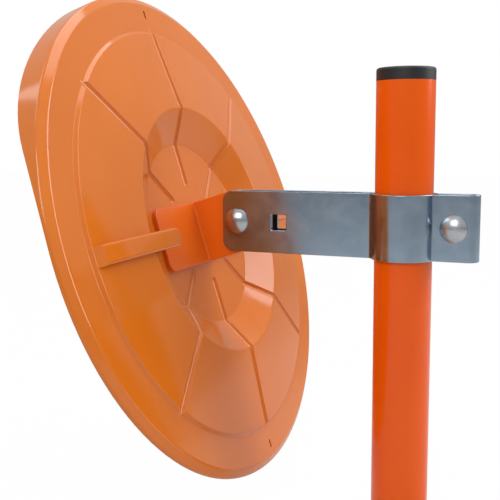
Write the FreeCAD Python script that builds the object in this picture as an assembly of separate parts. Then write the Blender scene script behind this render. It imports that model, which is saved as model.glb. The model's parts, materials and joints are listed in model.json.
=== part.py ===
"""Convex traffic mirror on a tube clamp: moulded back shell, mirror pane, two-strap arm and pole.

The pole stands on the Z axis with its foot at the origin. +X runs along the arm from the pole to
the mirror, and +Z is up. Lengths are in millimetres.
The mirror head is drawn about its pivot bolt first, with +X along the mirror's axis (u), +Y
across (v) and +Z up its back (w). It is then tilted down about +Y and carried to the pivot.
"""
import FreeCAD, Part
import math
import os

Vector = FreeCAD.Vector

# ---------------------------------------------------------------- driving dimensions
# Pole and its cap
POLE_R = 24.3
POLE_WALL = 2.4
POLE_LENGTH = 390.0
CAP_HEAD = 10.5
CAP_PLUG = 18.0
CAP_WALL = 2.0
CAP_EDGE = 2.2
CAP_FIT = 0.05
CAP_SEAT = 0.3
CAP_SEAT_DEPTH = 20.0

# Clamp arm: two mirrored straps that wrap the pole and run out to the pivot
ARM_HEIGHT = 270.0
STRAP_T = 3.2
STRAP_H = 55.0
STRAP_GAP = 12.0
STRAP_BEND = 2.5
STRAP_EDGE = 0.5
STRAP_CORNER = 10.0
POLE_FIT = 0.05
PIVOT_REACH = 150.4
STRAP_PAST_PIVOT = 13.5
EAR_REACH = 43.0
EAR_PAST_BOLT = 19.7
CURL_GAP = 0.3
SPARE_HOLE = 14.0
SPARE_HOLE_STEP = 40.8
SPARE_HOLE_EDGE = 0.8
HOLE_CORNER = 1.0

# Cup-head square-neck bolts of the arm, with their washers and nuts
BOLT_R = 5.0
BOLT_HEAD_R = 11.2
BOLT_HEAD_H = 5.6
BOLT_HEAD_RIM = 1.0
NECK = 10.0
NECK_FIT = 0.3
BOLT_TAIL = 4.0
BOLT_CHAMFER = 1.0
THREAD_FIT = 0.02
WASHER_R = 10.5
WASHER_T = 2.0
WASHER_FIT = 0.3
SPRING_R = 9.1
SPRING_T = 2.5
SPRING_SPLIT = 1.6
NUT_FLATS = 17.0
NUT_H = 8.4

# Pivot bracket: two bent flat bars with a spacer between them, each with a foot on the dish floor
BAR_T = 4.0
BAR_W = 56.0
BAR_SLIDE_FIT = 0.1
BAR_BEND = 1.6
BAR_PAST_PIVOT = 22.0
BAR_CORNER = 25.0
BAR_EDGE = 0.8
FOOT_TO_BEAM = 0.5
FOOT_CORNER = 8.0
PIVOT_FIT = 0.05
SPACER_R = 9.0
STUD_R = 3.0
STUD_OUT = 50.0
STUD_SPREAD = 15.0
STUD_FIT = 0.3
PLATE_T = 2.0
STUD_WASHER_R = 6.2
STUD_WASHER_T = 1.2
STUD_NUT_FLATS = 10.0
STUD_NUT_H = 5.0
STUD_TAIL = 0.6

# Back shell, by radius (R) and distance along the mirror's axis from the pivot (U)
REST_TILT = 17.3
SHELL_T = 2.5
FLOOR_U = 43.4
FLOOR_R = 85.3
DISH_R = 115.4
DISH_U = 25.8
RIM_WIDTH = 29.7
RING_U = 32.6
STEP_RUN = 2.6
RIM_U = 35.2
WALL_R = 217.8
CORNER_R = 4.0
DISH_ROUND = 4.0
RING_ROUND = 1.0
LIP_U = 42.0
LIP_STEP = 7.4
LIP_LAND = 2.5
LIP_ROUND = 3.0
LIP_DRAFT = 0.3
HOOD_DEPTH = 20.0
HOOD_START = 14.0
HOOD_FULL = 160.0
HOOD_TOP_BACK = 6.0

# Stiffening of the shell: narrow grooves, and a wide raised beam on each side
GROOVE_R = 3.8
GROOVE_RISE = 1.3
GROOVE_IN_R = 47.5
GROOVE_ANGLES = (45.0, 90.0, 135.0, 225.0, 270.0, 315.0)
BEAM_W = 16.0
BEAM_RISE = 5.6
BEAM_IN_R = 77.0
BEAM_TAPER = 7.0
BEAM_LAP = 1.6
BEAM_EDGE = 0.6
BEAM_ROUND = 2.2
WEEP_INSET = 9.8
WEEP_LENGTH = 8.0
WEEP_W = 2.6

# Mirror pane and the gasket that holds its edge
PANE_T = 2.5
PANE_INSET = 4.3
PANE_BORDER = 7.0
PANE_RISE = 19.6
GASKET_LIP = 0.8
GASKET_COVER = 5.0

# ---------------------------------------------------------------- sizes that follow
STRAP_IN_R = POLE_R + POLE_FIT
STRAP_OUT_R = STRAP_IN_R + STRAP_T
STRAP_IN_Y = STRAP_GAP / 2
STRAP_OUT_Y = STRAP_IN_Y + STRAP_T
EAR_END = EAR_REACH + EAR_PAST_BOLT
STRAP_END = PIVOT_REACH + STRAP_PAST_PIVOT
BAR_OUT_Y = STRAP_IN_Y - BAR_SLIDE_FIT
BAR_IN_Y = BAR_OUT_Y - BAR_T
FOOT_LENGTH = BEAM_IN_R - FOOT_TO_BEAM
RING_R = WALL_R - RIM_WIDTH
LIP_R = WALL_R + LIP_STEP
BEAM_TOP_R = RING_R - BEAM_TAPER
BEAM_OUT_R = RING_R + BEAM_LAP
WEEP_R = WALL_R - WEEP_INSET
PANE_R = WALL_R - PANE_INSET
PANE_FLAT_R = PANE_R - PANE_BORDER
PANE_SPHERE = (PANE_FLAT_R ** 2 + PANE_RISE ** 2) / (2 * PANE_RISE)
GASKET_IN_R = PANE_R - GASKET_COVER
GROOVE_DEPTH = GROOVE_R - GROOVE_RISE
PLATE_U = FLOOR_U + SHELL_T
STUD_PLACES = [(v, w) for v in (-STUD_OUT, STUD_OUT) for w in (-STUD_SPREAD, STUD_SPREAD)]
RIM_IN_U = RIM_U + SHELL_T
LIP_FRONT_MAX = LIP_U + HOOD_DEPTH
HOOD_RUN = HOOD_FULL - HOOD_START
HOOD_ARC = (HOOD_RUN ** 2 + HOOD_DEPTH ** 2) / (4 * HOOD_DEPTH)
HOOD_TOP_RUN = LIP_R - HOOD_FULL
HOOD_TOP_ARC = (HOOD_TOP_RUN ** 2 + HOOD_TOP_BACK ** 2) / (2 * HOOD_TOP_BACK)
PANE_BACK_U = RIM_IN_U + GASKET_LIP
X_AXIS = Vector(1, 0, 0)
Y_AXIS = Vector(0, 1, 0)
Z_AXIS = Vector(0, 0, 1)


# ---------------------------------------------------------------- drawing helpers
def arc_edge(centre, radius, start_deg, end_deg):
    """Arc in the XY plane about centre (x, y)."""
    def at(angle):
        a = math.radians(angle)
        return Vector(centre[0] + radius * math.cos(a), centre[1] + radius * math.sin(a), 0)
    return Part.Arc(at(start_deg), at((start_deg + end_deg) / 2), at(end_deg)).toShape()


def line_edge(a, b):
    return Part.makeLine(Vector(a[0], a[1], 0), Vector(b[0], b[1], 0))


def rounded_path(points):
    """Edges through (x, y, radius) points, each inner point rounded by a tangent arc."""
    edges = []
    here = Vector(points[0][0], points[0][1], 0)
    for before, corner, after in zip(points, points[1:], points[2:]):
        c = Vector(corner[0], corner[1], 0)
        a = (Vector(before[0], before[1], 0) - c).normalize()
        b = (Vector(after[0], after[1], 0) - c).normalize()
        half = a.getAngle(b) / 2
        radius = corner[2]
        if radius <= 0 or half > math.radians(89.9):
            edges.append(Part.makeLine(here, c))
            here = c
            continue
        reach = radius / math.tan(half)
        start, end = c + a * reach, c + b * reach
        middle = c + (a + b).normalize() * (radius / math.sin(half) - radius)
        if (start - here).Length > 1e-6:
            edges.append(Part.makeLine(here, start))
        edges.append(Part.Arc(start, middle, end).toShape())
        here = end
    last = Vector(points[-1][0], points[-1][1], 0)
    edges.append(Part.makeLine(here, last))
    return edges


def offset_path(points, distance):
    """The same path moved to its left by distance, with each rounding kept concentric."""
    lines = []
    for (x0, y0, _), (x1, y1, _) in zip(points, points[1:]):
        run = Vector(x1 - x0, y1 - y0, 0).normalize()
        side = Vector(-run.y, run.x, 0) * distance
        lines.append((Vector(x0, y0, 0) + side, Vector(x1, y1, 0) + side, run))
    moved = [(lines[0][0].x, lines[0][0].y, 0)]
    for (_, end, run), (start, _, next_run), corner in zip(lines, lines[1:], points[1:]):
        turn = run.x * next_run.y - run.y * next_run.x
        gap = start - end
        along = (gap.x * next_run.y - gap.y * next_run.x) / turn
        place = end + run * along
        radius = corner[2] - distance if turn > 0 else corner[2] + distance
        moved.append((place.x, place.y, max(radius, 0) if corner[2] > 0 else 0))
    moved.append((lines[-1][1].x, lines[-1][1].y, 0))
    return moved


def face_of(edges):
    return Part.Face(Part.Wire(Part.__sortEdges__(edges)))


def polygon(points):
    corners = [Vector(x, y, 0) for x, y in points]
    return Part.Face(Part.makePolygon(corners + corners[:1]))


def spun(section):
    """Turn a section drawn as (radius, u) into a solid about the mirror's axis, which is X."""
    solid = section.revolve(Vector(0, 0, 0), Y_AXIS, 360)
    solid.rotate(Vector(0, 0, 0), Z_AXIS, -90)
    return solid


def radial_slab(section, width, angle):
    """Give a section drawn as (radius, u) a width, centred on the radial plane at this angle."""
    slab = section.extrude(Vector(0, 0, width))
    slab.translate(Vector(0, 0, -width / 2))
    slab.rotate(Vector(0, 0, 0), Vector(1, 1, 0), 180)
    slab.rotate(Vector(0, 0, 0), X_AXIS, angle)
    return slab


def fillet_where(solid, radius, test):
    return solid.makeFillet(radius, [edge for edge in solid.Edges if test(edge)])


def one_solid(shape):
    """A boolean's result as a plain solid, with the seams left by the operation merged."""
    shape = shape.removeSplitter()
    return shape.Solids[0] if len(shape.Solids) == 1 else shape


def on_y(edge, x, z):
    """True for a straight edge along Y through (x, z)."""
    box = edge.BoundBox
    return (box.XLength < 1e-4 and box.ZLength < 1e-4
            and abs(box.XMin - x) < 1e-3 and abs(box.ZMin - z) < 1e-3)


# ---------------------------------------------------------------- pole
def pole_tube():
    """Steel tube. Its bore is opened a little at the top, where the cap's plug sits."""
    bore = POLE_R - POLE_WALL
    tube = Part.makeCylinder(POLE_R, POLE_LENGTH).cut(Part.makeCylinder(bore, POLE_LENGTH))
    seat = Vector(0, 0, POLE_LENGTH - CAP_SEAT_DEPTH)
    return tube.cut(Part.makeCylinder(bore + CAP_SEAT, CAP_SEAT_DEPTH, seat))


def pole_cap():
    """Plastic cap: a head flush with the tube, and a hollow plug that fills its bore."""
    head = Part.makeCylinder(POLE_R, CAP_HEAD, Vector(0, 0, POLE_LENGTH))
    top = POLE_LENGTH + CAP_HEAD
    head = fillet_where(head, CAP_EDGE, lambda e: abs(e.BoundBox.ZMin - top) < 1e-3
                        and e.BoundBox.ZLength < 1e-3)
    plug_r = POLE_R - POLE_WALL + CAP_SEAT - CAP_FIT
    plug = Part.makeCylinder(plug_r, CAP_PLUG, Vector(0, 0, POLE_LENGTH - CAP_PLUG))
    hollow = Part.makeCylinder(plug_r - CAP_WALL, CAP_PLUG, Vector(0, 0, POLE_LENGTH - CAP_PLUG))
    return one_solid(head.fuse(plug.cut(hollow)))


# ---------------------------------------------------------------- clamp arm
def square_hole(size, x):
    """Cutter for a square hole with small corner radii, through both straps at this x."""
    cutter = Part.makeBox(size, 4 * STRAP_OUT_Y, size, Vector(x - size / 2, -2 * STRAP_OUT_Y, -size / 2))
    return fillet_where(cutter, HOLE_CORNER,
                        lambda e: e.BoundBox.XLength < 1e-4 and e.BoundBox.ZLength < 1e-4)


def strap_section():
    """Plan of the front strap: arm, bend, half wrap of the pole, bend, ear and curled end."""
    bend_y = STRAP_OUT_Y + STRAP_BEND
    reach = STRAP_OUT_R + STRAP_BEND
    bend_x = math.sqrt(reach ** 2 - bend_y ** 2)
    lean = math.degrees(math.atan2(bend_y, bend_x))
    curl_out = STRAP_OUT_Y - CURL_GAP / 2
    curl_in = curl_out - STRAP_T
    curl = (curl_out - EAR_END, CURL_GAP / 2)
    right, left = (bend_x, bend_y), (-bend_x, bend_y)
    edges = [
        line_edge((STRAP_END, STRAP_OUT_Y), (bend_x, STRAP_OUT_Y)),
        arc_edge(right, STRAP_BEND, 270, 180 + lean),
        arc_edge((0, 0), STRAP_OUT_R, lean, 180 - lean),
        arc_edge(left, STRAP_BEND, -lean, -90),
        line_edge((-bend_x, STRAP_OUT_Y), (curl[0], STRAP_OUT_Y)),
        arc_edge(curl, curl_out, 90, 180),
        line_edge((-EAR_END, CURL_GAP / 2), (STRAP_T - EAR_END, CURL_GAP / 2)),
        arc_edge(curl, curl_in, 180, 90),
        line_edge((curl[0], STRAP_IN_Y), (-bend_x, STRAP_IN_Y)),
        arc_edge(left, STRAP_BEND + STRAP_T, -90, -lean),
        arc_edge((0, 0), STRAP_IN_R, 180 - lean, lean),
        arc_edge(right, STRAP_BEND + STRAP_T, 180 + lean, 270),
        line_edge((bend_x, STRAP_IN_Y), (STRAP_END, STRAP_IN_Y)),
        line_edge((STRAP_END, STRAP_IN_Y), (STRAP_END, STRAP_OUT_Y)),
    ]
    return face_of(edges)


def front_strap():
    strap = strap_section().extrude(Vector(0, 0, STRAP_H))
    strap.translate(Vector(0, 0, -STRAP_H / 2))
    strap = fillet_where(strap, STRAP_CORNER, lambda e: on_y(e, STRAP_END, STRAP_H / 2)
                         or on_y(e, STRAP_END, -STRAP_H / 2))
    rim = [e for e in strap.Edges if abs(abs(e.CenterOfMass.z) - STRAP_H / 2) < 1e-3]
    strap = strap.makeFillet(STRAP_EDGE, rim)
    spare = PIVOT_REACH - SPARE_HOLE_STEP
    strap = strap.cut(square_hole(SPARE_HOLE, spare))
    strap = fillet_where(strap, SPARE_HOLE_EDGE, lambda e: _rim_of_spare(e, spare))
    for x in (PIVOT_REACH, -EAR_REACH):
        strap = strap.cut(square_hole(NECK + 2 * NECK_FIT, x))
    strap.translate(Vector(0, 0, ARM_HEIGHT))
    return strap


def _rim_of_spare(edge, x):
    """True for the edges of the spare hole that lie in the strap's outer face."""
    box = edge.BoundBox
    near = abs(edge.CenterOfMass.x - x) < SPARE_HOLE and abs(edge.CenterOfMass.z) < SPARE_HOLE
    return near and box.YLength < 1e-4 and abs(box.YMin - STRAP_OUT_Y) < 1e-3


def rear_strap():
    return front_strap().mirror(Vector(0, 0, 0), Y_AXIS)


def cup_bolt(x):
    """Cup-head bolt lying along -Y, with its head on the front strap."""
    sphere_r = (BOLT_HEAD_R ** 2 + (BOLT_HEAD_H - BOLT_HEAD_RIM) ** 2) / (2 * (BOLT_HEAD_H - BOLT_HEAD_RIM))
    low = STRAP_OUT_Y
    mid_r = BOLT_HEAD_R / 2
    centre = low + BOLT_HEAD_H - sphere_r
    mid = Vector(mid_r, centre + math.sqrt(sphere_r ** 2 - mid_r ** 2), 0)
    rim = Vector(BOLT_HEAD_R, low + BOLT_HEAD_RIM, 0)
    head = face_of([
        line_edge((0, low), (BOLT_HEAD_R, low)),
        line_edge((BOLT_HEAD_R, low), (rim.x, rim.y)),
        Part.Arc(rim, mid, Vector(0, low + BOLT_HEAD_H, 0)).toShape(),
        line_edge((0, low + BOLT_HEAD_H), (0, low)),
    ]).revolve(Vector(0, 0, 0), Y_AXIS, 360)
    neck = Part.makeBox(NECK, STRAP_T, NECK, Vector(-NECK / 2, STRAP_IN_Y, -NECK / 2))
    tip = STRAP_OUT_Y + WASHER_T + SPRING_T + NUT_H + BOLT_TAIL
    shank = Part.makeCylinder(BOLT_R, STRAP_IN_Y + tip, Vector(0, -tip, 0), Y_AXIS)
    shank = shank.makeChamfer(BOLT_CHAMFER, [e for e in shank.Edges if abs(e.BoundBox.YMax + tip) < 1e-3])
    bolt = one_solid(head.fuse([neck, shank]))
    bolt.translate(Vector(x, 0, ARM_HEIGHT))
    return bolt


def ring_on_bolt(outer, inner, thick, x, seat):
    """A ring on a bolt behind the rear strap. Seat is its distance from the strap's face."""
    face = Vector(x, -STRAP_OUT_Y - seat - thick, ARM_HEIGHT)
    return Part.makeCylinder(outer, thick, face, Y_AXIS).cut(Part.makeCylinder(inner, thick, face, Y_AXIS))


def plain_washer(x):
    return ring_on_bolt(WASHER_R, BOLT_R + WASHER_FIT, WASHER_T, x, 0)


def spring_washer(x):
    ring = ring_on_bolt(SPRING_R, BOLT_R + WASHER_FIT, SPRING_T, x, WASHER_T)
    low = -STRAP_OUT_Y - WASHER_T - SPRING_T
    split = Part.makeBox(SPRING_SPLIT, 3 * SPRING_T, SPRING_R + 1, Vector(-SPRING_SPLIT / 2, -SPRING_T, 0))
    split.rotate(Vector(0, SPRING_T / 2, 0), Z_AXIS, 25)
    split.translate(Vector(x, low, ARM_HEIGHT))
    return ring.cut(split)


def hex_nut(flats, height, bore):
    """Hexagon nut along +X from the origin, with both faces chamfered."""
    corner = flats / math.sqrt(3)
    points = [Vector(0, corner * math.cos(math.radians(a)), corner * math.sin(math.radians(a)))
              for a in range(0, 420, 60)]
    nut = Part.Face(Part.makePolygon(points)).extrude(Vector(height, 0, 0))
    drop = (corner - flats / 2) * 0.55
    section = polygon([(0, 0), (flats / 2, 0), (corner, drop), (corner, height - drop),
                       (flats / 2, height), (0, height)])
    return nut.common(spun(section)).cut(Part.makeCylinder(bore, height, Vector(0, 0, 0), X_AXIS))


def arm_nut(x):
    nut = hex_nut(NUT_FLATS, NUT_H, BOLT_R + THREAD_FIT)
    nut.rotate(Vector(0, 0, 0), Z_AXIS, -90)
    nut.translate(Vector(x, -STRAP_OUT_Y - WASHER_T - SPRING_T, ARM_HEIGHT))
    return nut


# ---------------------------------------------------------------- mirror head
def to_rest(shape):
    """Carry a shape drawn about the pivot to its place, tilted down as it stands at rest."""
    shape.rotate(Vector(0, 0, 0), Y_AXIS, REST_TILT)
    shape.translate(Vector(PIVOT_REACH, 0, ARM_HEIGHT))
    return shape


def near_bracket():
    """Bent flat bar: a tongue on the pivot, a foot on the dish floor and two welded studs."""
    foot_u = FLOOR_U - BAR_T
    outer = BAR_OUT_Y
    path = [(-BAR_PAST_PIVOT, BAR_IN_Y, 0), (FLOOR_U, BAR_IN_Y, BAR_BEND + BAR_T), (FLOOR_U, FOOT_LENGTH, 0)]
    inner = [(-BAR_PAST_PIVOT, outer, 0), (foot_u, outer, BAR_BEND), (foot_u, FOOT_LENGTH, 0)]
    edges = rounded_path(path) + rounded_path(inner)
    edges.append(line_edge(path[0], inner[0]))
    edges.append(line_edge(path[-1], inner[-1]))
    bar = face_of(edges).extrude(Vector(0, 0, BAR_W))
    bar.translate(Vector(0, 0, -BAR_W / 2))
    bar = fillet_where(bar, BAR_CORNER, lambda e: on_y(e, -BAR_PAST_PIVOT, BAR_W / 2)
                       or on_y(e, -BAR_PAST_PIVOT, -BAR_W / 2))
    bar = fillet_where(bar, FOOT_CORNER, _foot_corner)
    bar = fillet_where(bar, BAR_EDGE, _seen_bar_edge)
    bar = bar.cut(Part.makeCylinder(BOLT_R + PIVOT_FIT, 2 * STRAP_GAP, Vector(0, -STRAP_GAP, 0), Y_AXIS))
    length = SHELL_T + PLATE_T + STUD_WASHER_T + STUD_NUT_H + STUD_TAIL
    for v, w in STUD_PLACES:
        if v > 0:
            bar = bar.fuse(Part.makeCylinder(STUD_R, length + BAR_T / 2,
                                             Vector(FLOOR_U - BAR_T / 2, v, w), X_AXIS))
    return to_rest(one_solid(bar))


def _foot_corner(edge):
    """True for the foot's two end corners, which run along the mirror's axis."""
    box = edge.BoundBox
    return (box.YLength < 1e-4 and box.ZLength < 1e-4 and abs(box.YMin - FOOT_LENGTH) < 1e-3
            and abs(box.XLength - BAR_T) < 1e-3)


def _seen_bar_edge(edge):
    """True for the long edges of the bar's two sides, on its outer face."""
    box = edge.BoundBox
    on_side = abs(abs(edge.CenterOfMass.z) - BAR_W / 2) < 1e-3 and box.ZLength < 1e-4
    on_tongue = abs(box.YMin - BAR_OUT_Y) < 1e-3 and box.YLength < 1e-4
    on_foot = abs(box.XMin - (FLOOR_U - BAR_T)) < 1e-3 and box.XLength < 1e-4
    return on_side and (on_tongue or on_foot)


def far_bracket():
    return near_bracket().mirror(Vector(0, 0, 0), Y_AXIS)


def bracket_spacer():
    """Sleeve on the pivot bolt that keeps the two tongues apart."""
    length = 2 * BAR_IN_Y
    sleeve = Part.makeCylinder(SPACER_R, length, Vector(0, -BAR_IN_Y, 0), Y_AXIS)
    return to_rest(sleeve.cut(Part.makeCylinder(BOLT_R + PIVOT_FIT, length, Vector(0, -BAR_IN_Y, 0), Y_AXIS)))


def shell_path():
    """The shell's back surface from its centre to its front lip, as (radius, u, rounding)."""
    return [
        (0, FLOOR_U, 0),
        (FLOOR_R, FLOOR_U, DISH_ROUND),
        (DISH_R, DISH_U, DISH_ROUND),
        (RING_R, RING_U, RING_ROUND),
        (RING_R + STEP_RUN, RIM_U, RING_ROUND),
        (WALL_R, RIM_U, CORNER_R),
        (LIP_R - LIP_DRAFT, LIP_U - LIP_LAND, LIP_ROUND),
        (LIP_R, LIP_FRONT_MAX, 0),
    ]


def shell_hollow():
    """The room inside the shell, out to its inner surface."""
    inner = offset_path(shell_path(), SHELL_T)
    front = (0, inner[-1][1])
    edges = rounded_path(inner) + [line_edge(inner[-1], front), line_edge(front, inner[0])]
    return spun(face_of(edges))


def hood_edge(shift, far):
    """Edges of the lip line in the plane of w and u: low, an S of two arcs, then the hood.

    They are drawn as (u, w). Shift moves the line back from the lip's front. The hood leans back
    a little towards its top.
    """
    low, high = LIP_U - shift, LIP_FRONT_MAX - shift
    radius = HOOD_ARC
    turn = math.degrees(math.asin(HOOD_RUN / 2 / radius))
    lean = math.degrees(math.asin(HOOD_TOP_RUN / HOOD_TOP_ARC))
    top = high - HOOD_TOP_BACK
    edges = [
        line_edge((low, -far), (low, HOOD_START)),
        arc_edge((low + radius, HOOD_START), radius, 180, 180 - turn),
        arc_edge((high - radius, HOOD_FULL), radius, -turn, 0),
        arc_edge((high - HOOD_TOP_ARC, HOOD_FULL), HOOD_TOP_ARC, 0, lean),
        line_edge((top, LIP_R), (top, far)),
    ]
    return edges, low, top


def across(section, half_width):
    """Give a section drawn as (u, w) a width along v, centred on the mirror's axis."""
    block = section.extrude(Vector(0, 0, 2 * half_width))
    block.translate(Vector(0, 0, -half_width))
    block.rotate(Vector(0, 0, 0), X_AXIS, 90)
    return block


def beyond_lip():
    """Everything in front of the lip line."""
    far = 2 * LIP_R
    edges, low, top = hood_edge(0, far)
    ahead = top + far
    edges += [line_edge((top, far), (ahead, far)), line_edge((ahead, far), (ahead, -far)),
              line_edge((ahead, -far), (low, -far))]
    ahead_of_line = across(face_of(edges), far)
    middle = Part.makeCylinder(GASKET_IN_R, 2 * far, Vector(-far, 0, 0), X_AXIS)
    return ahead_of_line.cut(middle)


def groove_strip(near, deep, out_r):
    """Strip under the shell's back surface along a groove, between two depths, as (radius, u)."""
    line = [(GROOVE_IN_R, FLOOR_U), (FLOOR_R, FLOOR_U), (DISH_R, DISH_U), (RING_R, RING_U)]
    slope = (RING_U - DISH_U) / (RING_R - DISH_R)
    line.append((out_r, RING_U + slope * (out_r - RING_R)))
    return polygon([(r, u + near) for r, u in line] + [(r, u + deep) for r, u in reversed(line)])


def groove_cutter(angle):
    """Rods end to end along a groove, a little above the shell's back surface."""
    lift = GROOVE_RISE
    slope = (RING_U - DISH_U) / (RING_R - DISH_R)
    out_r = RING_R + 2 * STEP_RUN
    line = [(GROOVE_IN_R, FLOOR_U), (FLOOR_R, FLOOR_U), (DISH_R, DISH_U), (out_r, RING_U + slope * (out_r - RING_R))]
    line = offset_path([(r, u, 0) for r, u in line], -lift)
    ends = [Vector(u, r, 0) for r, u, _ in line]
    rods = [Part.makeSphere(GROOVE_R, end) for end in ends]
    for a, b in zip(ends, ends[1:]):
        rods.append(Part.makeCylinder(GROOVE_R, (b - a).Length, a, b - a))
    cutter = rods[0].fuse(rods[1:])
    cutter.rotate(Vector(0, 0, 0), X_AXIS, angle)
    return cutter


def beam_solid(shrink):
    """The raised beam on the +v side, or its hollow when shrink is the shell's thickness."""
    top_in = DISH_U - BEAM_RISE + shrink
    top_out = RING_U - BEAM_RISE + shrink
    in_r, end_r = BEAM_IN_R + shrink, BEAM_TOP_R - shrink
    under = RING_U + SHELL_T - (RING_U - DISH_U) / (RING_R - DISH_R) * (RING_R - end_r)
    hollow_end = [(end_r, top_out), (end_r, under)]
    beam_end = [(end_r, top_out), (BEAM_OUT_R, RIM_U - BEAM_EDGE), (BEAM_OUT_R, RIM_IN_U),
                (RING_R, RING_U + SHELL_T)]
    section = polygon([(in_r, PLATE_U), (in_r, top_in), (DISH_R, top_in)] + (hollow_end if shrink else beam_end)
                      + [(DISH_R, DISH_U + SHELL_T), (FLOOR_R, PLATE_U)])
    width = BEAM_W - 2 * shrink
    beam = radial_slab(section, width, 0)
    corner = width / 2 - 0.4 if shrink == 0 else width / 2 - 0.6
    beam = fillet_where(beam, corner, lambda e: _beam_end(e, in_r, width))
    if shrink:
        return beam
    return fillet_where(beam, BEAM_ROUND, lambda e: _beam_top(e, top_in, top_out, width))


def _beam_end(edge, in_r, width):
    """True for the two upright corners at the beam's inner end."""
    box = edge.BoundBox
    return (box.YLength < 1e-4 and box.ZLength < 1e-4 and abs(box.YMin - in_r) < 1e-3
            and abs(abs(box.ZMin) - width / 2) < 1e-3)


def _beam_top(edge, top_in, top_out, width):
    """True for the edges round the beam's top face, but not for the fold lines across it."""
    middle = edge.valueAt((edge.FirstParameter + edge.LastParameter) / 2)
    slope = (top_out - top_in) / (BEAM_TOP_R - DISH_R)
    top = top_in + max(0, middle.y - DISH_R) * slope
    across_fold = edge.BoundBox.ZLength > width - 1
    return abs(middle.x - top) < 0.01 and middle.y < BEAM_TOP_R and not across_fold


def back_shell():
    outer = shell_path()
    inner = offset_path(outer, SHELL_T)
    edges = rounded_path(outer) + rounded_path(inner)
    edges.append(line_edge(outer[0], inner[0]))
    edges.append(line_edge(outer[-1], inner[-1]))
    shell = spun(face_of(edges))
    for angle in GROOVE_ANGLES:
        width = 2 * (GROOVE_R + SHELL_T)
        bead = radial_slab(groove_strip(SHELL_T / 2, SHELL_T + GROOVE_DEPTH, RING_R), width, angle)
        shell = shell.fuse(bead)
    for angle in GROOVE_ANGLES:
        shell = shell.cut(groove_cutter(angle))
    for angle in (0, 180):
        beam, hollow = beam_solid(0), beam_solid(SHELL_T)
        beam.rotate(Vector(0, 0, 0), X_AXIS, angle)
        hollow.rotate(Vector(0, 0, 0), X_AXIS, angle)
        shell = shell.fuse(beam).cut(hollow)
    shell = shell.cut(beyond_lip())
    for v, w in STUD_PLACES:
        shell = shell.cut(Part.makeCylinder(STUD_R + STUD_FIT, 3 * SHELL_T, Vector(FLOOR_U - SHELL_T, v, w), X_AXIS))
    for side in (1, -1):
        weep = Part.makeBox(3 * SHELL_T, WEEP_W, WEEP_LENGTH,
                            Vector(RIM_U - SHELL_T, -WEEP_W / 2, -WEEP_LENGTH / 2))
        weep = fillet_where(weep, WEEP_W * 0.49, lambda e: e.BoundBox.YLength < 1e-4 and e.BoundBox.ZLength < 1e-4)
        weep.translate(Vector(0, 0, side * WEEP_R))
        shell = shell.cut(weep)
    return to_rest(one_solid(shell))


def mirror_pane():
    """Convex pane with a flat border, of even thickness."""
    def dome(edge_u, radius):
        base = edge_u - math.sqrt(radius ** 2 - PANE_FLAT_R ** 2)
        mid = Vector(PANE_FLAT_R / 2, base + math.sqrt(radius ** 2 - PANE_FLAT_R ** 2 / 4), 0)
        apex = Vector(0, base + radius, 0)
        return Part.Arc(Vector(PANE_FLAT_R, edge_u, 0), mid, apex).toShape(), apex

    back, front = PANE_BACK_U, PANE_BACK_U + PANE_T
    back_arc, back_apex = dome(back, PANE_SPHERE)
    front_arc, front_apex = dome(front, PANE_SPHERE)
    edges = [back_arc, front_arc,
             line_edge((0, back_apex.y), (0, front_apex.y)),
             line_edge((PANE_FLAT_R, back), (PANE_R, back)),
             line_edge((PANE_R, back), (PANE_R, front)),
             line_edge((PANE_R, front), (PANE_FLAT_R, front))]
    return to_rest(spun(face_of(edges)))


def pane_gasket():
    """Rubber channel that grips the pane's edge and fills the shell's rim."""
    front = PANE_BACK_U + PANE_T
    ledge = front + GASKET_LIP
    ring = spun(polygon([(GASKET_IN_R, RIM_IN_U), (LIP_R, RIM_IN_U), (LIP_R, ledge), (GASKET_IN_R, ledge)]))
    slot = spun(polygon([(0, PANE_BACK_U), (PANE_R, PANE_BACK_U), (PANE_R, front), (0, front)]))
    return to_rest(one_solid(ring.common(shell_hollow()).cut(slot)))


def backing_plate():
    """Steel plate inside the shell that spreads the load of the four studs."""
    plate = Part.makeBox(PLATE_T, 2 * FOOT_LENGTH, BAR_W, Vector(PLATE_U, -FOOT_LENGTH, -BAR_W / 2))
    plate = fillet_where(plate, FOOT_CORNER, lambda e: e.BoundBox.YLength < 1e-4 and e.BoundBox.ZLength < 1e-4)
    for v, w in STUD_PLACES:
        plate = plate.cut(Part.makeCylinder(STUD_R + STUD_FIT, PLATE_T, Vector(PLATE_U, v, w), X_AXIS))
    return to_rest(plate)


def foot_washers():
    seat = PLATE_U + PLATE_T
    rings = []
    for v, w in STUD_PLACES:
        ring = Part.makeCylinder(STUD_WASHER_R, STUD_WASHER_T, Vector(seat, v, w), X_AXIS)
        rings.append(ring.cut(Part.makeCylinder(STUD_R + STUD_FIT, STUD_WASHER_T, Vector(seat, v, w), X_AXIS)))
    return to_rest(Part.makeCompound(rings))


def foot_nuts():
    seat = PLATE_U + PLATE_T + STUD_WASHER_T
    nuts = []
    for v, w in STUD_PLACES:
        nut = hex_nut(STUD_NUT_FLATS, STUD_NUT_H, STUD_R + THREAD_FIT)
        nut.translate(Vector(seat, v, w))
        nuts.append(nut)
    return to_rest(Part.makeCompound(nuts))


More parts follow.
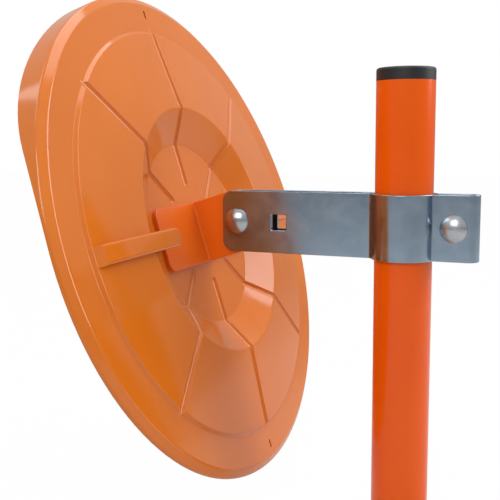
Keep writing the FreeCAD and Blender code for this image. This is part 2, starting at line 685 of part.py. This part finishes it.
# ---------------------------------------------------------------- all the pieces
def all_nodes():
    nodes = {
        "pole_tube": pole_tube(),
        "pole_cap": pole_cap(),
        "front_strap": front_strap(),
        "rear_strap": rear_strap(),
        "near_bracket": near_bracket(),
        "far_bracket": far_bracket(),
        "bracket_spacer": bracket_spacer(),
        "back_shell": back_shell(),
        "mirror_pane": mirror_pane(),
        "pane_gasket": pane_gasket(),
        "backing_plate": backing_plate(),
        "foot_washers": foot_washers(),
        "foot_nuts": foot_nuts(),
    }
    for place, x in (("pivot", PIVOT_REACH), ("clamp", -EAR_REACH)):
        nodes[place + "_bolt"] = cup_bolt(x)
        nodes[place + "_washer"] = plain_washer(x)
        nodes[place + "_spring_washer"] = spring_washer(x)
        nodes[place + "_nut"] = arm_nut(x)
    return nodes


os.makedirs("parts", exist_ok=True)
for name, shape in all_nodes().items():
    assert shape.isValid(), name
    shape.exportStep("parts/" + name + ".step")
    print(name, len(shape.Solids), "solid(s)", round(shape.Volume / 1000, 2), "cm3")
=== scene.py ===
# %% [markdown]
# # A convex traffic mirror, seen from behind
#
# A round mirror in a moulded orange shell hangs on a zinc-plated steel arm, and the arm is
# clamped round a painted pole. The solids come from the part's CAD model, already in place, and
# they hold every piece of the mirror. So this lesson models nothing new: it smooths each solid,
# gives every surface its finish, and sets up a plain studio.

# %% Load the model
import bpy
import bmesh
import json
import math
from mathutils import Matrix, Vector

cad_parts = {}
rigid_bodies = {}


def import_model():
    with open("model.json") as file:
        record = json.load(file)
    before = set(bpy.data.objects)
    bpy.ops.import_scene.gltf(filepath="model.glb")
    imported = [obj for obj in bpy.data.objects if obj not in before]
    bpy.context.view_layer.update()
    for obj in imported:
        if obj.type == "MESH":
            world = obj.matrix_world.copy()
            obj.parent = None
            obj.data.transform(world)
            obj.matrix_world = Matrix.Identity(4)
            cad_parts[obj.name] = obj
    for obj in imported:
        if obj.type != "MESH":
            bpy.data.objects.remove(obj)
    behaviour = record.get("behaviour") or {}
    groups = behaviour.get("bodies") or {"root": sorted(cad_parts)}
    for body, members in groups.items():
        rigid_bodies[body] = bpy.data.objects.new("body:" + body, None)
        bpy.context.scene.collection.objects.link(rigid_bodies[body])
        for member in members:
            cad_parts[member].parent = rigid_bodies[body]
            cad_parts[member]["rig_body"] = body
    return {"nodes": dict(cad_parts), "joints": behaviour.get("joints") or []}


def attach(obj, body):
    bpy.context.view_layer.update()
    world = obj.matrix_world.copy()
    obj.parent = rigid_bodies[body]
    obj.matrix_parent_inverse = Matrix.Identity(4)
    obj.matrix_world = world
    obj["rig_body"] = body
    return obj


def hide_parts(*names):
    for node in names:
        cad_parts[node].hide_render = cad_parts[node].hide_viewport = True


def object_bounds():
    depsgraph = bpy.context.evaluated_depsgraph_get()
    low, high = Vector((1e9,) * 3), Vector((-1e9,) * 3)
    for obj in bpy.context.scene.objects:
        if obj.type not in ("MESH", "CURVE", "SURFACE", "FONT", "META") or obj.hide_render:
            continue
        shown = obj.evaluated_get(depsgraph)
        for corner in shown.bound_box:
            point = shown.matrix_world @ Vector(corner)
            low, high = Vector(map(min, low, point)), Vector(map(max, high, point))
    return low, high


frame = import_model()
cad_box = [list(corner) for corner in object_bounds()]
nodes = frame["nodes"]
joints = {joint["name"]: joint for joint in frame["joints"]}
PIVOT = Vector(joints["tilt"]["pos_m"])
print("nodes:", len(nodes), "pivot bolt at", tuple(PIVOT))

# %% [markdown]
# ## The camera
#
# The viewpoint stands a little above the arm, close to the mirror and behind it, so the disc is
# seen at a slant and the arm crosses it. A camera could be aimed by turning it about three axes,
# but a direction is easier to read. A camera in Blender looks along its own -Z axis, so its matrix
# is built from three directions: right, up and back. The roll leans it by half a degree.

# %% Place the camera
VIEW_FROM = Vector((-0.1555, 0.6794, PIVOT.z + 0.0781))
VIEW_ALONG = Vector((0.3962, -0.9073, -0.1407)).normalized()
VIEW_ROLL = math.radians(-0.5)
LENS_MM = 58.93
SENSOR_MM = 36.0
NEAREST = 0.01


def camera_matrix(place, along, roll):
    right = along.cross(Vector((0, 0, 1))).normalized()
    up = right.cross(along)
    right, up = (right * math.cos(roll) + up * math.sin(roll),
                 up * math.cos(roll) - right * math.sin(roll))
    turn = Matrix((right, up, -along)).transposed()
    return Matrix.Translation(place) @ turn.to_4x4()


camera_data = bpy.data.cameras.new("camera")
camera_data.lens = LENS_MM
camera_data.sensor_width = SENSOR_MM
camera_data.clip_start = NEAREST
camera = bpy.data.objects.new("camera", camera_data)
bpy.context.scene.collection.objects.link(camera)
camera.matrix_world = camera_matrix(VIEW_FROM, VIEW_ALONG, VIEW_ROLL)
bpy.context.scene.camera = camera
print("camera", round((VIEW_FROM - PIVOT).length, 3), "m from the pivot")

# %% [markdown]
# ## Node helpers
#
# A finish is a tree of nodes, and each node and wire takes a line or more to make. These helpers
# save typing. When a node is added, its sockets are named by their labels, with an underscore for
# a space. A group is a small tree with named inputs and outputs, which several finishes share.


# %% Helpers for nodes
def add(tree, kind, **sockets):
    node = tree.nodes.new(kind)
    for name, value in sockets.items():
        node.inputs[name.replace("_", " ")].default_value = value
    return node


def join(tree, start, out, end, into):
    tree.links.new(start.outputs[out], end.inputs[into])


def new_group(name, inputs, outputs):
    group = bpy.data.node_groups.new(name, "ShaderNodeTree")
    for label, default in inputs.items():
        socket = group.interface.new_socket(label, in_out="INPUT", socket_type="NodeSocketFloat")
        socket.default_value = default
    for label, kind in outputs.items():
        group.interface.new_socket(label, in_out="OUTPUT", socket_type=kind)
    return group, group.nodes.new("NodeGroupInput"), group.nodes.new("NodeGroupOutput")


# %% [markdown]
# ## The skin of moulded plastic and sprayed paint
#
# Neither is ever quite flat: both have a slow swell, like the skin of an orange, and a finer grain
# on it. The mesh could carry the swell, but it is only a tenth of a millimetre high, so two bumps
# do. One group makes both from noises. It puts out a normal, a slow patch pattern for the colour,
# and a roughness that follows the patches. Each material sets its own values.

# %% Orange peel
PEEL_INPUTS = {"Swell Scale": 60.0, "Swell Height": 0.0002, "Grain Scale": 900.0,
               "Grain Height": 0.00002, "Roughness Low": 0.25, "Roughness High": 0.35}
PEEL_OUTPUTS = {"Normal": "NodeSocketVector", "Patch": "NodeSocketFloat",
                "Roughness": "NodeSocketFloat"}
PATCH_SCALE = 9.0


def orange_peel_group():
    tree, given, out = new_group("orange_peel", PEEL_INPUTS, PEEL_OUTPUTS)
    place = add(tree, "ShaderNodeTexCoord")
    swell = add(tree, "ShaderNodeTexNoise", Detail=1.0, Roughness=0.4)
    grain = add(tree, "ShaderNodeTexNoise", Detail=2.0)
    patch = add(tree, "ShaderNodeTexNoise", Scale=PATCH_SCALE, Detail=3.0)
    for noise in (swell, grain, patch):
        join(tree, place, "Object", noise, "Vector")
    join(tree, given, "Swell Scale", swell, "Scale")
    join(tree, given, "Grain Scale", grain, "Scale")
    slow = add(tree, "ShaderNodeBump", Strength=1.0)
    fine = add(tree, "ShaderNodeBump", Strength=1.0)
    join(tree, given, "Swell Height", slow, "Distance")
    join(tree, given, "Grain Height", fine, "Distance")
    join(tree, swell, "Fac", slow, "Height")
    join(tree, grain, "Fac", fine, "Height")
    join(tree, slow, "Normal", fine, "Normal")
    join(tree, fine, "Normal", out, "Normal")
    join(tree, patch, "Fac", out, "Patch")
    spread = add(tree, "ShaderNodeMapRange", From_Min=0.3, From_Max=0.7)
    join(tree, patch, "Fac", spread, "Value")
    join(tree, given, "Roughness Low", spread, "To Min")
    join(tree, given, "Roughness High", spread, "To Max")
    join(tree, spread, "Result", out, "Roughness")
    return tree


ORANGE_PEEL = orange_peel_group()
print("group", ORANGE_PEEL.name, "with", len(ORANGE_PEEL.nodes), "nodes")

# %% [markdown]
# ## Dust
#
# Fine dust settles on faces that look up, and rain leaves it in patches. It could be painted by
# hand, but a mask worked out from the direction of the face and a broken noise fits every piece. A
# material mixes a pale dust colour in by this mask.

# %% Dust
DUST_INPUTS = {"Amount": 0.2, "Scale": 40.0}


def arithmetic(tree, operation):
    node = tree.nodes.new("ShaderNodeMath")
    node.operation = operation
    return node


def dust_group():
    tree, given, out = new_group("dust", DUST_INPUTS, {"Mask": "NodeSocketFloat"})
    shape = add(tree, "ShaderNodeNewGeometry")
    split = add(tree, "ShaderNodeSeparateXYZ")
    join(tree, shape, "Normal", split, "Vector")
    up = add(tree, "ShaderNodeMapRange", From_Min=0.2)
    join(tree, split, "Z", up, "Value")
    place = add(tree, "ShaderNodeTexCoord")
    noise = add(tree, "ShaderNodeTexNoise", Detail=5.0, Roughness=0.65)
    join(tree, place, "Object", noise, "Vector")
    join(tree, given, "Scale", noise, "Scale")
    patch = add(tree, "ShaderNodeMapRange", From_Min=0.35, From_Max=0.75)
    join(tree, noise, "Fac", patch, "Value")
    both = arithmetic(tree, "MULTIPLY")
    join(tree, up, "Result", both, 0)
    join(tree, patch, "Result", both, 1)
    final = arithmetic(tree, "MULTIPLY")
    join(tree, both, 0, final, 0)
    join(tree, given, "Amount", final, 1)
    join(tree, final, 0, out, "Mask")
    return tree


DUST = dust_group()
print("group", DUST.name, "with", len(DUST.nodes), "nodes")

# %% [markdown]
# ## Colours
#
# Colours are written as they look on a screen, from 0 to 255, and turned into the linear values
# that a shader expects. A ramp blends such colours along a pattern. A new material starts with
# Blender's own Principled shader, which can be plastic, paint, rubber or metal.


# %% Helpers for colours and materials
def screen(red, green, blue):
    def linear(value):
        value = value / 255
        return value / 12.92 if value <= 0.04045 else ((value + 0.055) / 1.055) ** 2.4
    return (linear(red), linear(green), linear(blue), 1.0)


def ramp(tree, stops):
    node = tree.nodes.new("ShaderNodeValToRGB")
    node.color_ramp.elements[0].position = stops[0][0]
    node.color_ramp.elements[0].color = stops[0][1]
    node.color_ramp.elements[1].position = stops[-1][0]
    node.color_ramp.elements[1].color = stops[-1][1]
    for place, colour in stops[1:-1]:
        node.color_ramp.elements.new(place).color = colour
    return node


def new_material(name):
    material = bpy.data.materials.new(name)
    material.use_nodes = True
    tree = material.node_tree
    return material, tree, tree.nodes["Principled BSDF"]


print("middle grey of a screen is", round(screen(128, 128, 128)[0], 3), "in a shader")

# %% [markdown]
# ## A coloured, peeled and dusted finish
#
# The shell, the paint, the cap and the rubber differ only in values, so one function makes all of
# them from the two groups. A material's colour drifts between a light and a dark tone. The swell
# and the grain are each given as how close they lie and how high they stand in metres, and the
# roughness by its lowest and highest value. The shine is the strength of the mirror-like
# reflection, where 0.5 is plain plastic.

# %% The finish
PALE_DUST = (205, 190, 170)
PLAIN_SHINE = 0.5


def peeled(name, light, dark, swell, grain, rough, dust, dust_colour=PALE_DUST, shine=PLAIN_SHINE):
    material, tree, shader = new_material(name)
    shader.inputs["Specular IOR Level"].default_value = shine
    peel = tree.nodes.new("ShaderNodeGroup")
    peel.node_tree = ORANGE_PEEL
    for label, value in zip(PEEL_INPUTS, (*swell, *grain, *rough)):
        peel.inputs[label].default_value = value
    colour = ramp(tree, [(0.3, screen(*dark)), (0.7, screen(*light))])
    join(tree, peel, "Patch", colour, "Fac")
    settled = tree.nodes.new("ShaderNodeGroup")
    settled.node_tree = DUST
    settled.inputs["Amount"].default_value = dust
    mix = tree.nodes.new("ShaderNodeMix")
    mix.data_type = "RGBA"
    mix.inputs["B"].default_value = screen(*dust_colour)
    join(tree, settled, "Mask", mix, "Factor")
    join(tree, colour, "Color", mix, "A")
    join(tree, mix, "Result", shader, "Base Color")
    join(tree, peel, "Normal", shader, "Normal")
    join(tree, peel, "Roughness", shader, "Roughness")
    print("finish", name)
    return material


# %% [markdown]
# ## Orange plastic, orange paint and black plastic
#
# The shell is glossy moulded plastic in a warm orange, with long, low swells. The pole and the
# bracket are powder coated: the same family of colour, but redder, and with a closer peel. The cap
# is plain black plastic with a coarser grain.

# %% Materials for plastic and paint
GREY_DUST = (120, 118, 114)

SHELL = peeled("shell_orange", light=(211, 112, 28), dark=(204, 106, 24),
               swell=(22.0, 0.00012), grain=(1400.0, 0.000002), rough=(0.09, 0.15), dust=0.08)
POLE = peeled("pole_orange", light=(232, 90, 4), dark=(224, 84, 3),
              swell=(220.0, 0.00007), grain=(1800.0, 0.000005), rough=(0.16, 0.24), dust=0.05,
              shine=0.3)
BRACKET = peeled("bracket_orange", light=(228, 102, 14), dark=(220, 95, 10),
                 swell=(240.0, 0.00006), grain=(1800.0, 0.00001), rough=(0.25, 0.35), dust=0.12)
CAP = peeled("cap_black", light=(21, 22, 26), dark=(16, 17, 20),
             swell=(90.0, 0.00005), grain=(1500.0, 0.00003), rough=(0.4, 0.52), dust=0.25,
             dust_colour=GREY_DUST)

# %% [markdown]
# ## Zinc-plated steel
#
# Plated strip keeps the faint lines of the rolling mill along its length, and the bright zinc
# clouds over in places. A picture of steel could be wrapped on, but a noise needs none: rolling
# lines are a noise stretched along the strip with a Mapping node, and a second noise makes the
# clouds, which change the roughness and the tint. A bolt is pressed, not rolled, and shows no
# lines, so its noise is stretched alike in every direction.

# %% Zinc
LINE_HEIGHT = 0.000012


def grey(level):
    return (level, level, level, 1.0)


def zinc(name, light, dark, stretch, rough):
    material, tree, shader = new_material(name)
    shader.inputs["Metallic"].default_value = 1.0
    place = add(tree, "ShaderNodeTexCoord")
    along = add(tree, "ShaderNodeMapping", Scale=stretch)
    join(tree, place, "Object", along, "Vector")
    lines = add(tree, "ShaderNodeTexNoise", Scale=1.0, Detail=4.0, Roughness=0.7)
    join(tree, along, "Vector", lines, "Vector")
    clouds = add(tree, "ShaderNodeTexNoise", Scale=55.0, Detail=6.0, Roughness=0.6, Distortion=0.4)
    join(tree, place, "Object", clouds, "Vector")
    colour = ramp(tree, [(0.35, screen(*dark)), (0.65, screen(*light))])
    join(tree, clouds, "Fac", colour, "Fac")
    join(tree, colour, "Color", shader, "Base Color")
    dull = ramp(tree, [(0.3, grey(rough[0])), (0.7, grey(rough[1]))])
    join(tree, clouds, "Fac", dull, "Fac")
    join(tree, dull, "Color", shader, "Roughness")
    bump = add(tree, "ShaderNodeBump", Strength=1.0, Distance=LINE_HEIGHT)
    join(tree, lines, "Fac", bump, "Height")
    join(tree, bump, "Normal", shader, "Normal")
    print("finish", name)
    return material


STRAP = zinc("strap_zinc", light=(162, 178, 193), dark=(146, 163, 179),
             stretch=(6, 6, 2400), rough=(0.14, 0.24))
BOLT = zinc("bolt_zinc", light=(188, 192, 194), dark=(168, 172, 176),
            stretch=(1500, 1500, 1500), rough=(0.2, 0.34))

# %% [markdown]
# ## Mirror and rubber
#
# The pane is clear acrylic with silver on its back. It could be glass over metal, but from in front
# only the reflection matters, so it is a bright metal with almost no roughness, under a thin coat.
# A slow noise hazes it a little. The gasket is dull black rubber.


# %% Mirror and rubber
def silvered_pane():
    material, tree, shader = new_material("mirror_silver")
    shader.inputs["Metallic"].default_value = 1.0
    shader.inputs["Base Color"].default_value = screen(232, 238, 240)
    shader.inputs["Coat Weight"].default_value = 0.5
    shader.inputs["Coat Roughness"].default_value = 0.02
    ripple = add(tree, "ShaderNodeTexNoise", Scale=7.0, Detail=1.0)
    haze = ramp(tree, [(0.3, grey(0.02)), (0.7, grey(0.045))])
    join(tree, add(tree, "ShaderNodeTexCoord"), "Object", ripple, "Vector")
    join(tree, ripple, "Fac", haze, "Fac")
    join(tree, haze, "Color", shader, "Roughness")
    print("finish", material.name)
    return material


RUBBER_DUST = (110, 106, 100)
MIRROR = silvered_pane()
RUBBER = peeled("gasket_rubber", light=(34, 34, 35), dark=(26, 26, 27),
                swell=(120.0, 0.00003), grain=(900.0, 0.00003), rough=(0.6, 0.75), dust=0.3,
                dust_colour=RUBBER_DUST)

# %% [markdown]
# ## Dress the solids
#
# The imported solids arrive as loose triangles. They could be dressed as they are, but a smooth copy
# looks better on glossy plastic: the triangles of the copy are merged, its faces shaded smooth, and
# every edge sharper than a set angle kept crisp. The copy then stands for the solid, which stays
# for collision. The pieces that the list leaves out are bolts, nuts, washers and hidden steel.

# %% Smooth copies
SHARP_DEG = 24.0
MERGE_M = 1e-6


def smooth_copy(node, material):
    source = nodes[node]
    mesh = bpy.data.meshes.new(node + "_skin")
    work = bmesh.new()
    work.from_mesh(source.data)
    bmesh.ops.remove_doubles(work, verts=work.verts, dist=MERGE_M)
    for face in work.faces:
        face.smooth = True
    for edge in work.edges:
        sharp = len(edge.link_faces) != 2 or edge.calc_face_angle(0.0) > math.radians(SHARP_DEG)
        edge.smooth = not sharp
    work.to_mesh(mesh)
    work.free()
    mesh.materials.append(material)
    piece = bpy.data.objects.new(node + "_skin", mesh)
    bpy.context.scene.collection.objects.link(piece)
    even = piece.modifiers.new("even_normals", "WEIGHTED_NORMAL")
    even.keep_sharp = True
    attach(piece, source["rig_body"])
    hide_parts(node)
    print(node, "skin:", len(mesh.polygons), "faces")


FINISHES = {
    "pole_tube": (POLE, "pole_paint"), "pole_cap": (CAP, "cap_plastic"),
    "front_strap": (STRAP, "strap_zinc"), "rear_strap": (STRAP, "strap_zinc"),
    "near_bracket": (BRACKET, "bracket_paint"), "far_bracket": (BRACKET, "bracket_paint"),
    "back_shell": (SHELL, "shell_plastic"), "mirror_pane": (MIRROR, "mirror_face"),
    "pane_gasket": (RUBBER, "gasket_rubber"),
}
for node in sorted(nodes):
    material, slot = FINISHES.get(node, (BOLT, "bolt_zinc"))
    smooth_copy(node, material)

# %% [markdown]
# ## A ground that is white to the camera
#
# The object stands on a clean white ground, but a ground that really shone that white would wash
# out the glossy plastic. A Light Path node tells what kind of ray asks, so one factor gives a high
# share of plain white to the camera and through glass, and a low one to reflections. All other
# rays get none of it.


# %% White for the camera
def white_to_camera(tree, share, gloss_share):
    """A factor: share for rays from the camera or through glass, less for reflected rays."""
    path = tree.nodes.new("ShaderNodeLightPath")
    seen = arithmetic(tree, "MAXIMUM")
    join(tree, path, "Is Camera Ray", seen, 0)
    join(tree, path, "Is Transmission Ray", seen, 1)
    part = arithmetic(tree, "MULTIPLY")
    part.inputs[1].default_value = share
    join(tree, seen, 0, part, 0)
    gloss = arithmetic(tree, "MULTIPLY")
    gloss.inputs[1].default_value = gloss_share
    join(tree, path, "Is Glossy Ray", gloss, 0)
    both = arithmetic(tree, "MAXIMUM")
    join(tree, part, 0, both, 0)
    join(tree, gloss, 0, both, 1)
    return both


# %% [markdown]
# ## Floor and world
#
# The floor is one large square at the foot of the pole, light grey under the white that the camera
# sees. The world is brighter overhead than near the ground, which gives the glossy plastic its
# slow change from dark to light.

# %% Floor
FLOOR_HALF_SIDE = 6.0
FLOOR_GREY = (205, 205, 205)
FLOOR_WHITE, FLOOR_WHITE_IN_GLOSS = 0.985, 0.05


def white_floor():
    mesh = bpy.data.meshes.new("floor")
    work = bmesh.new()
    bmesh.ops.create_grid(work, x_segments=1, y_segments=1, size=FLOOR_HALF_SIDE)
    work.to_mesh(mesh)
    work.free()
    floor = bpy.data.objects.new("floor", mesh)
    bpy.context.scene.collection.objects.link(floor)
    floor.location.z = cad_box[0][2]
    material, tree, shader = new_material("floor_white")
    mesh.materials.append(material)
    shader.inputs["Base Color"].default_value = screen(*FLOOR_GREY)
    shader.inputs["Roughness"].default_value = 0.9
    glow = add(tree, "ShaderNodeEmission", Color=grey(1.0), Strength=1.0)
    mix = tree.nodes.new("ShaderNodeMixShader")
    join(tree, white_to_camera(tree, FLOOR_WHITE, FLOOR_WHITE_IN_GLOSS), 0, mix, 0)
    join(tree, shader, 0, mix, 1)
    join(tree, glow, 0, mix, 2)
    join(tree, mix, 0, tree.nodes["Material Output"], "Surface")
    print("floor at height", round(floor.location.z, 4))


white_floor()

# %% World
WORLD_STRENGTH = 0.8
WORLD_WHITE, WORLD_WHITE_IN_GLOSS = 1.0, 0.1
SKY_STOPS = [(0.0, grey(0.3)), (0.08, grey(0.42)), (0.3, grey(0.7)), (1.0, grey(0.8))]


def studio_world():
    world = bpy.data.worlds.new("studio")
    bpy.context.scene.world = world
    world.use_nodes = True
    tree = world.node_tree
    plain = tree.nodes["Background"]
    plain.inputs["Strength"].default_value = WORLD_STRENGTH
    white = add(tree, "ShaderNodeBackground", Color=grey(1.0), Strength=1.0)
    direction = add(tree, "ShaderNodeTexCoord")
    split = add(tree, "ShaderNodeSeparateXYZ")
    sky = ramp(tree, SKY_STOPS)
    join(tree, direction, "Generated", split, "Vector")
    join(tree, split, "Z", sky, "Fac")
    join(tree, sky, "Color", plain, "Color")
    mix = tree.nodes.new("ShaderNodeMixShader")
    join(tree, white_to_camera(tree, WORLD_WHITE, WORLD_WHITE_IN_GLOSS), 0, mix, 0)
    join(tree, plain, 0, mix, 1)
    join(tree, white, 0, mix, 2)
    join(tree, mix, 0, tree.nodes["World Output"], "Surface")
    print("world", world.name, "with", len(tree.nodes), "nodes")


studio_world()

# %% [markdown]
# ## Soft boxes
#
# The light comes from four soft boxes. Each is an area lamp: its size sets how soft the shadows are
# and how wide the streaks of light on the plastic look. A lamp is placed by its bearing from the
# mirror, which is easier to move than a place in metres: azimuth counts from +X toward +Y and
# elevation up from the ground, both in degrees, and the sizes are in metres.

# %% Soft boxes
CENTRE = PIVOT + Vector((0.03, 0, 0))


def soft_box(name, azimuth, elevation, distance, wide, high, watts):
    turn, lift = math.radians(azimuth), math.radians(elevation)
    level = math.cos(lift)
    away = Vector((level * math.cos(turn), level * math.sin(turn), math.sin(lift)))
    data = bpy.data.lights.new(name, "AREA")
    data.shape = "RECTANGLE"
    data.size = wide
    data.size_y = high
    data.energy = watts
    lamp = bpy.data.objects.new(name, data)
    bpy.context.scene.collection.objects.link(lamp)
    lamp.matrix_world = camera_matrix(CENTRE + away * distance, -away, 0.0)
    print("soft box", name, "of", watts, "W")


soft_box("left_box", azimuth=25, elevation=48, distance=1.9, wide=0.9, high=0.6, watts=4)
soft_box("top_box", azimuth=-100, elevation=74, distance=1.9, wide=1.5, high=1.0, watts=11)
soft_box("window", azimuth=-154, elevation=30, distance=1.8, wide=0.8, high=1.5, watts=18)
soft_box("front_box", azimuth=95, elevation=35, distance=2.2, wide=1.2, high=1.0, watts=18)

# %% [markdown]
# ## Finish
#
# The Standard view shows colours as they were chosen.

# %% Finish
bpy.context.scene.view_settings.view_transform = "Standard"
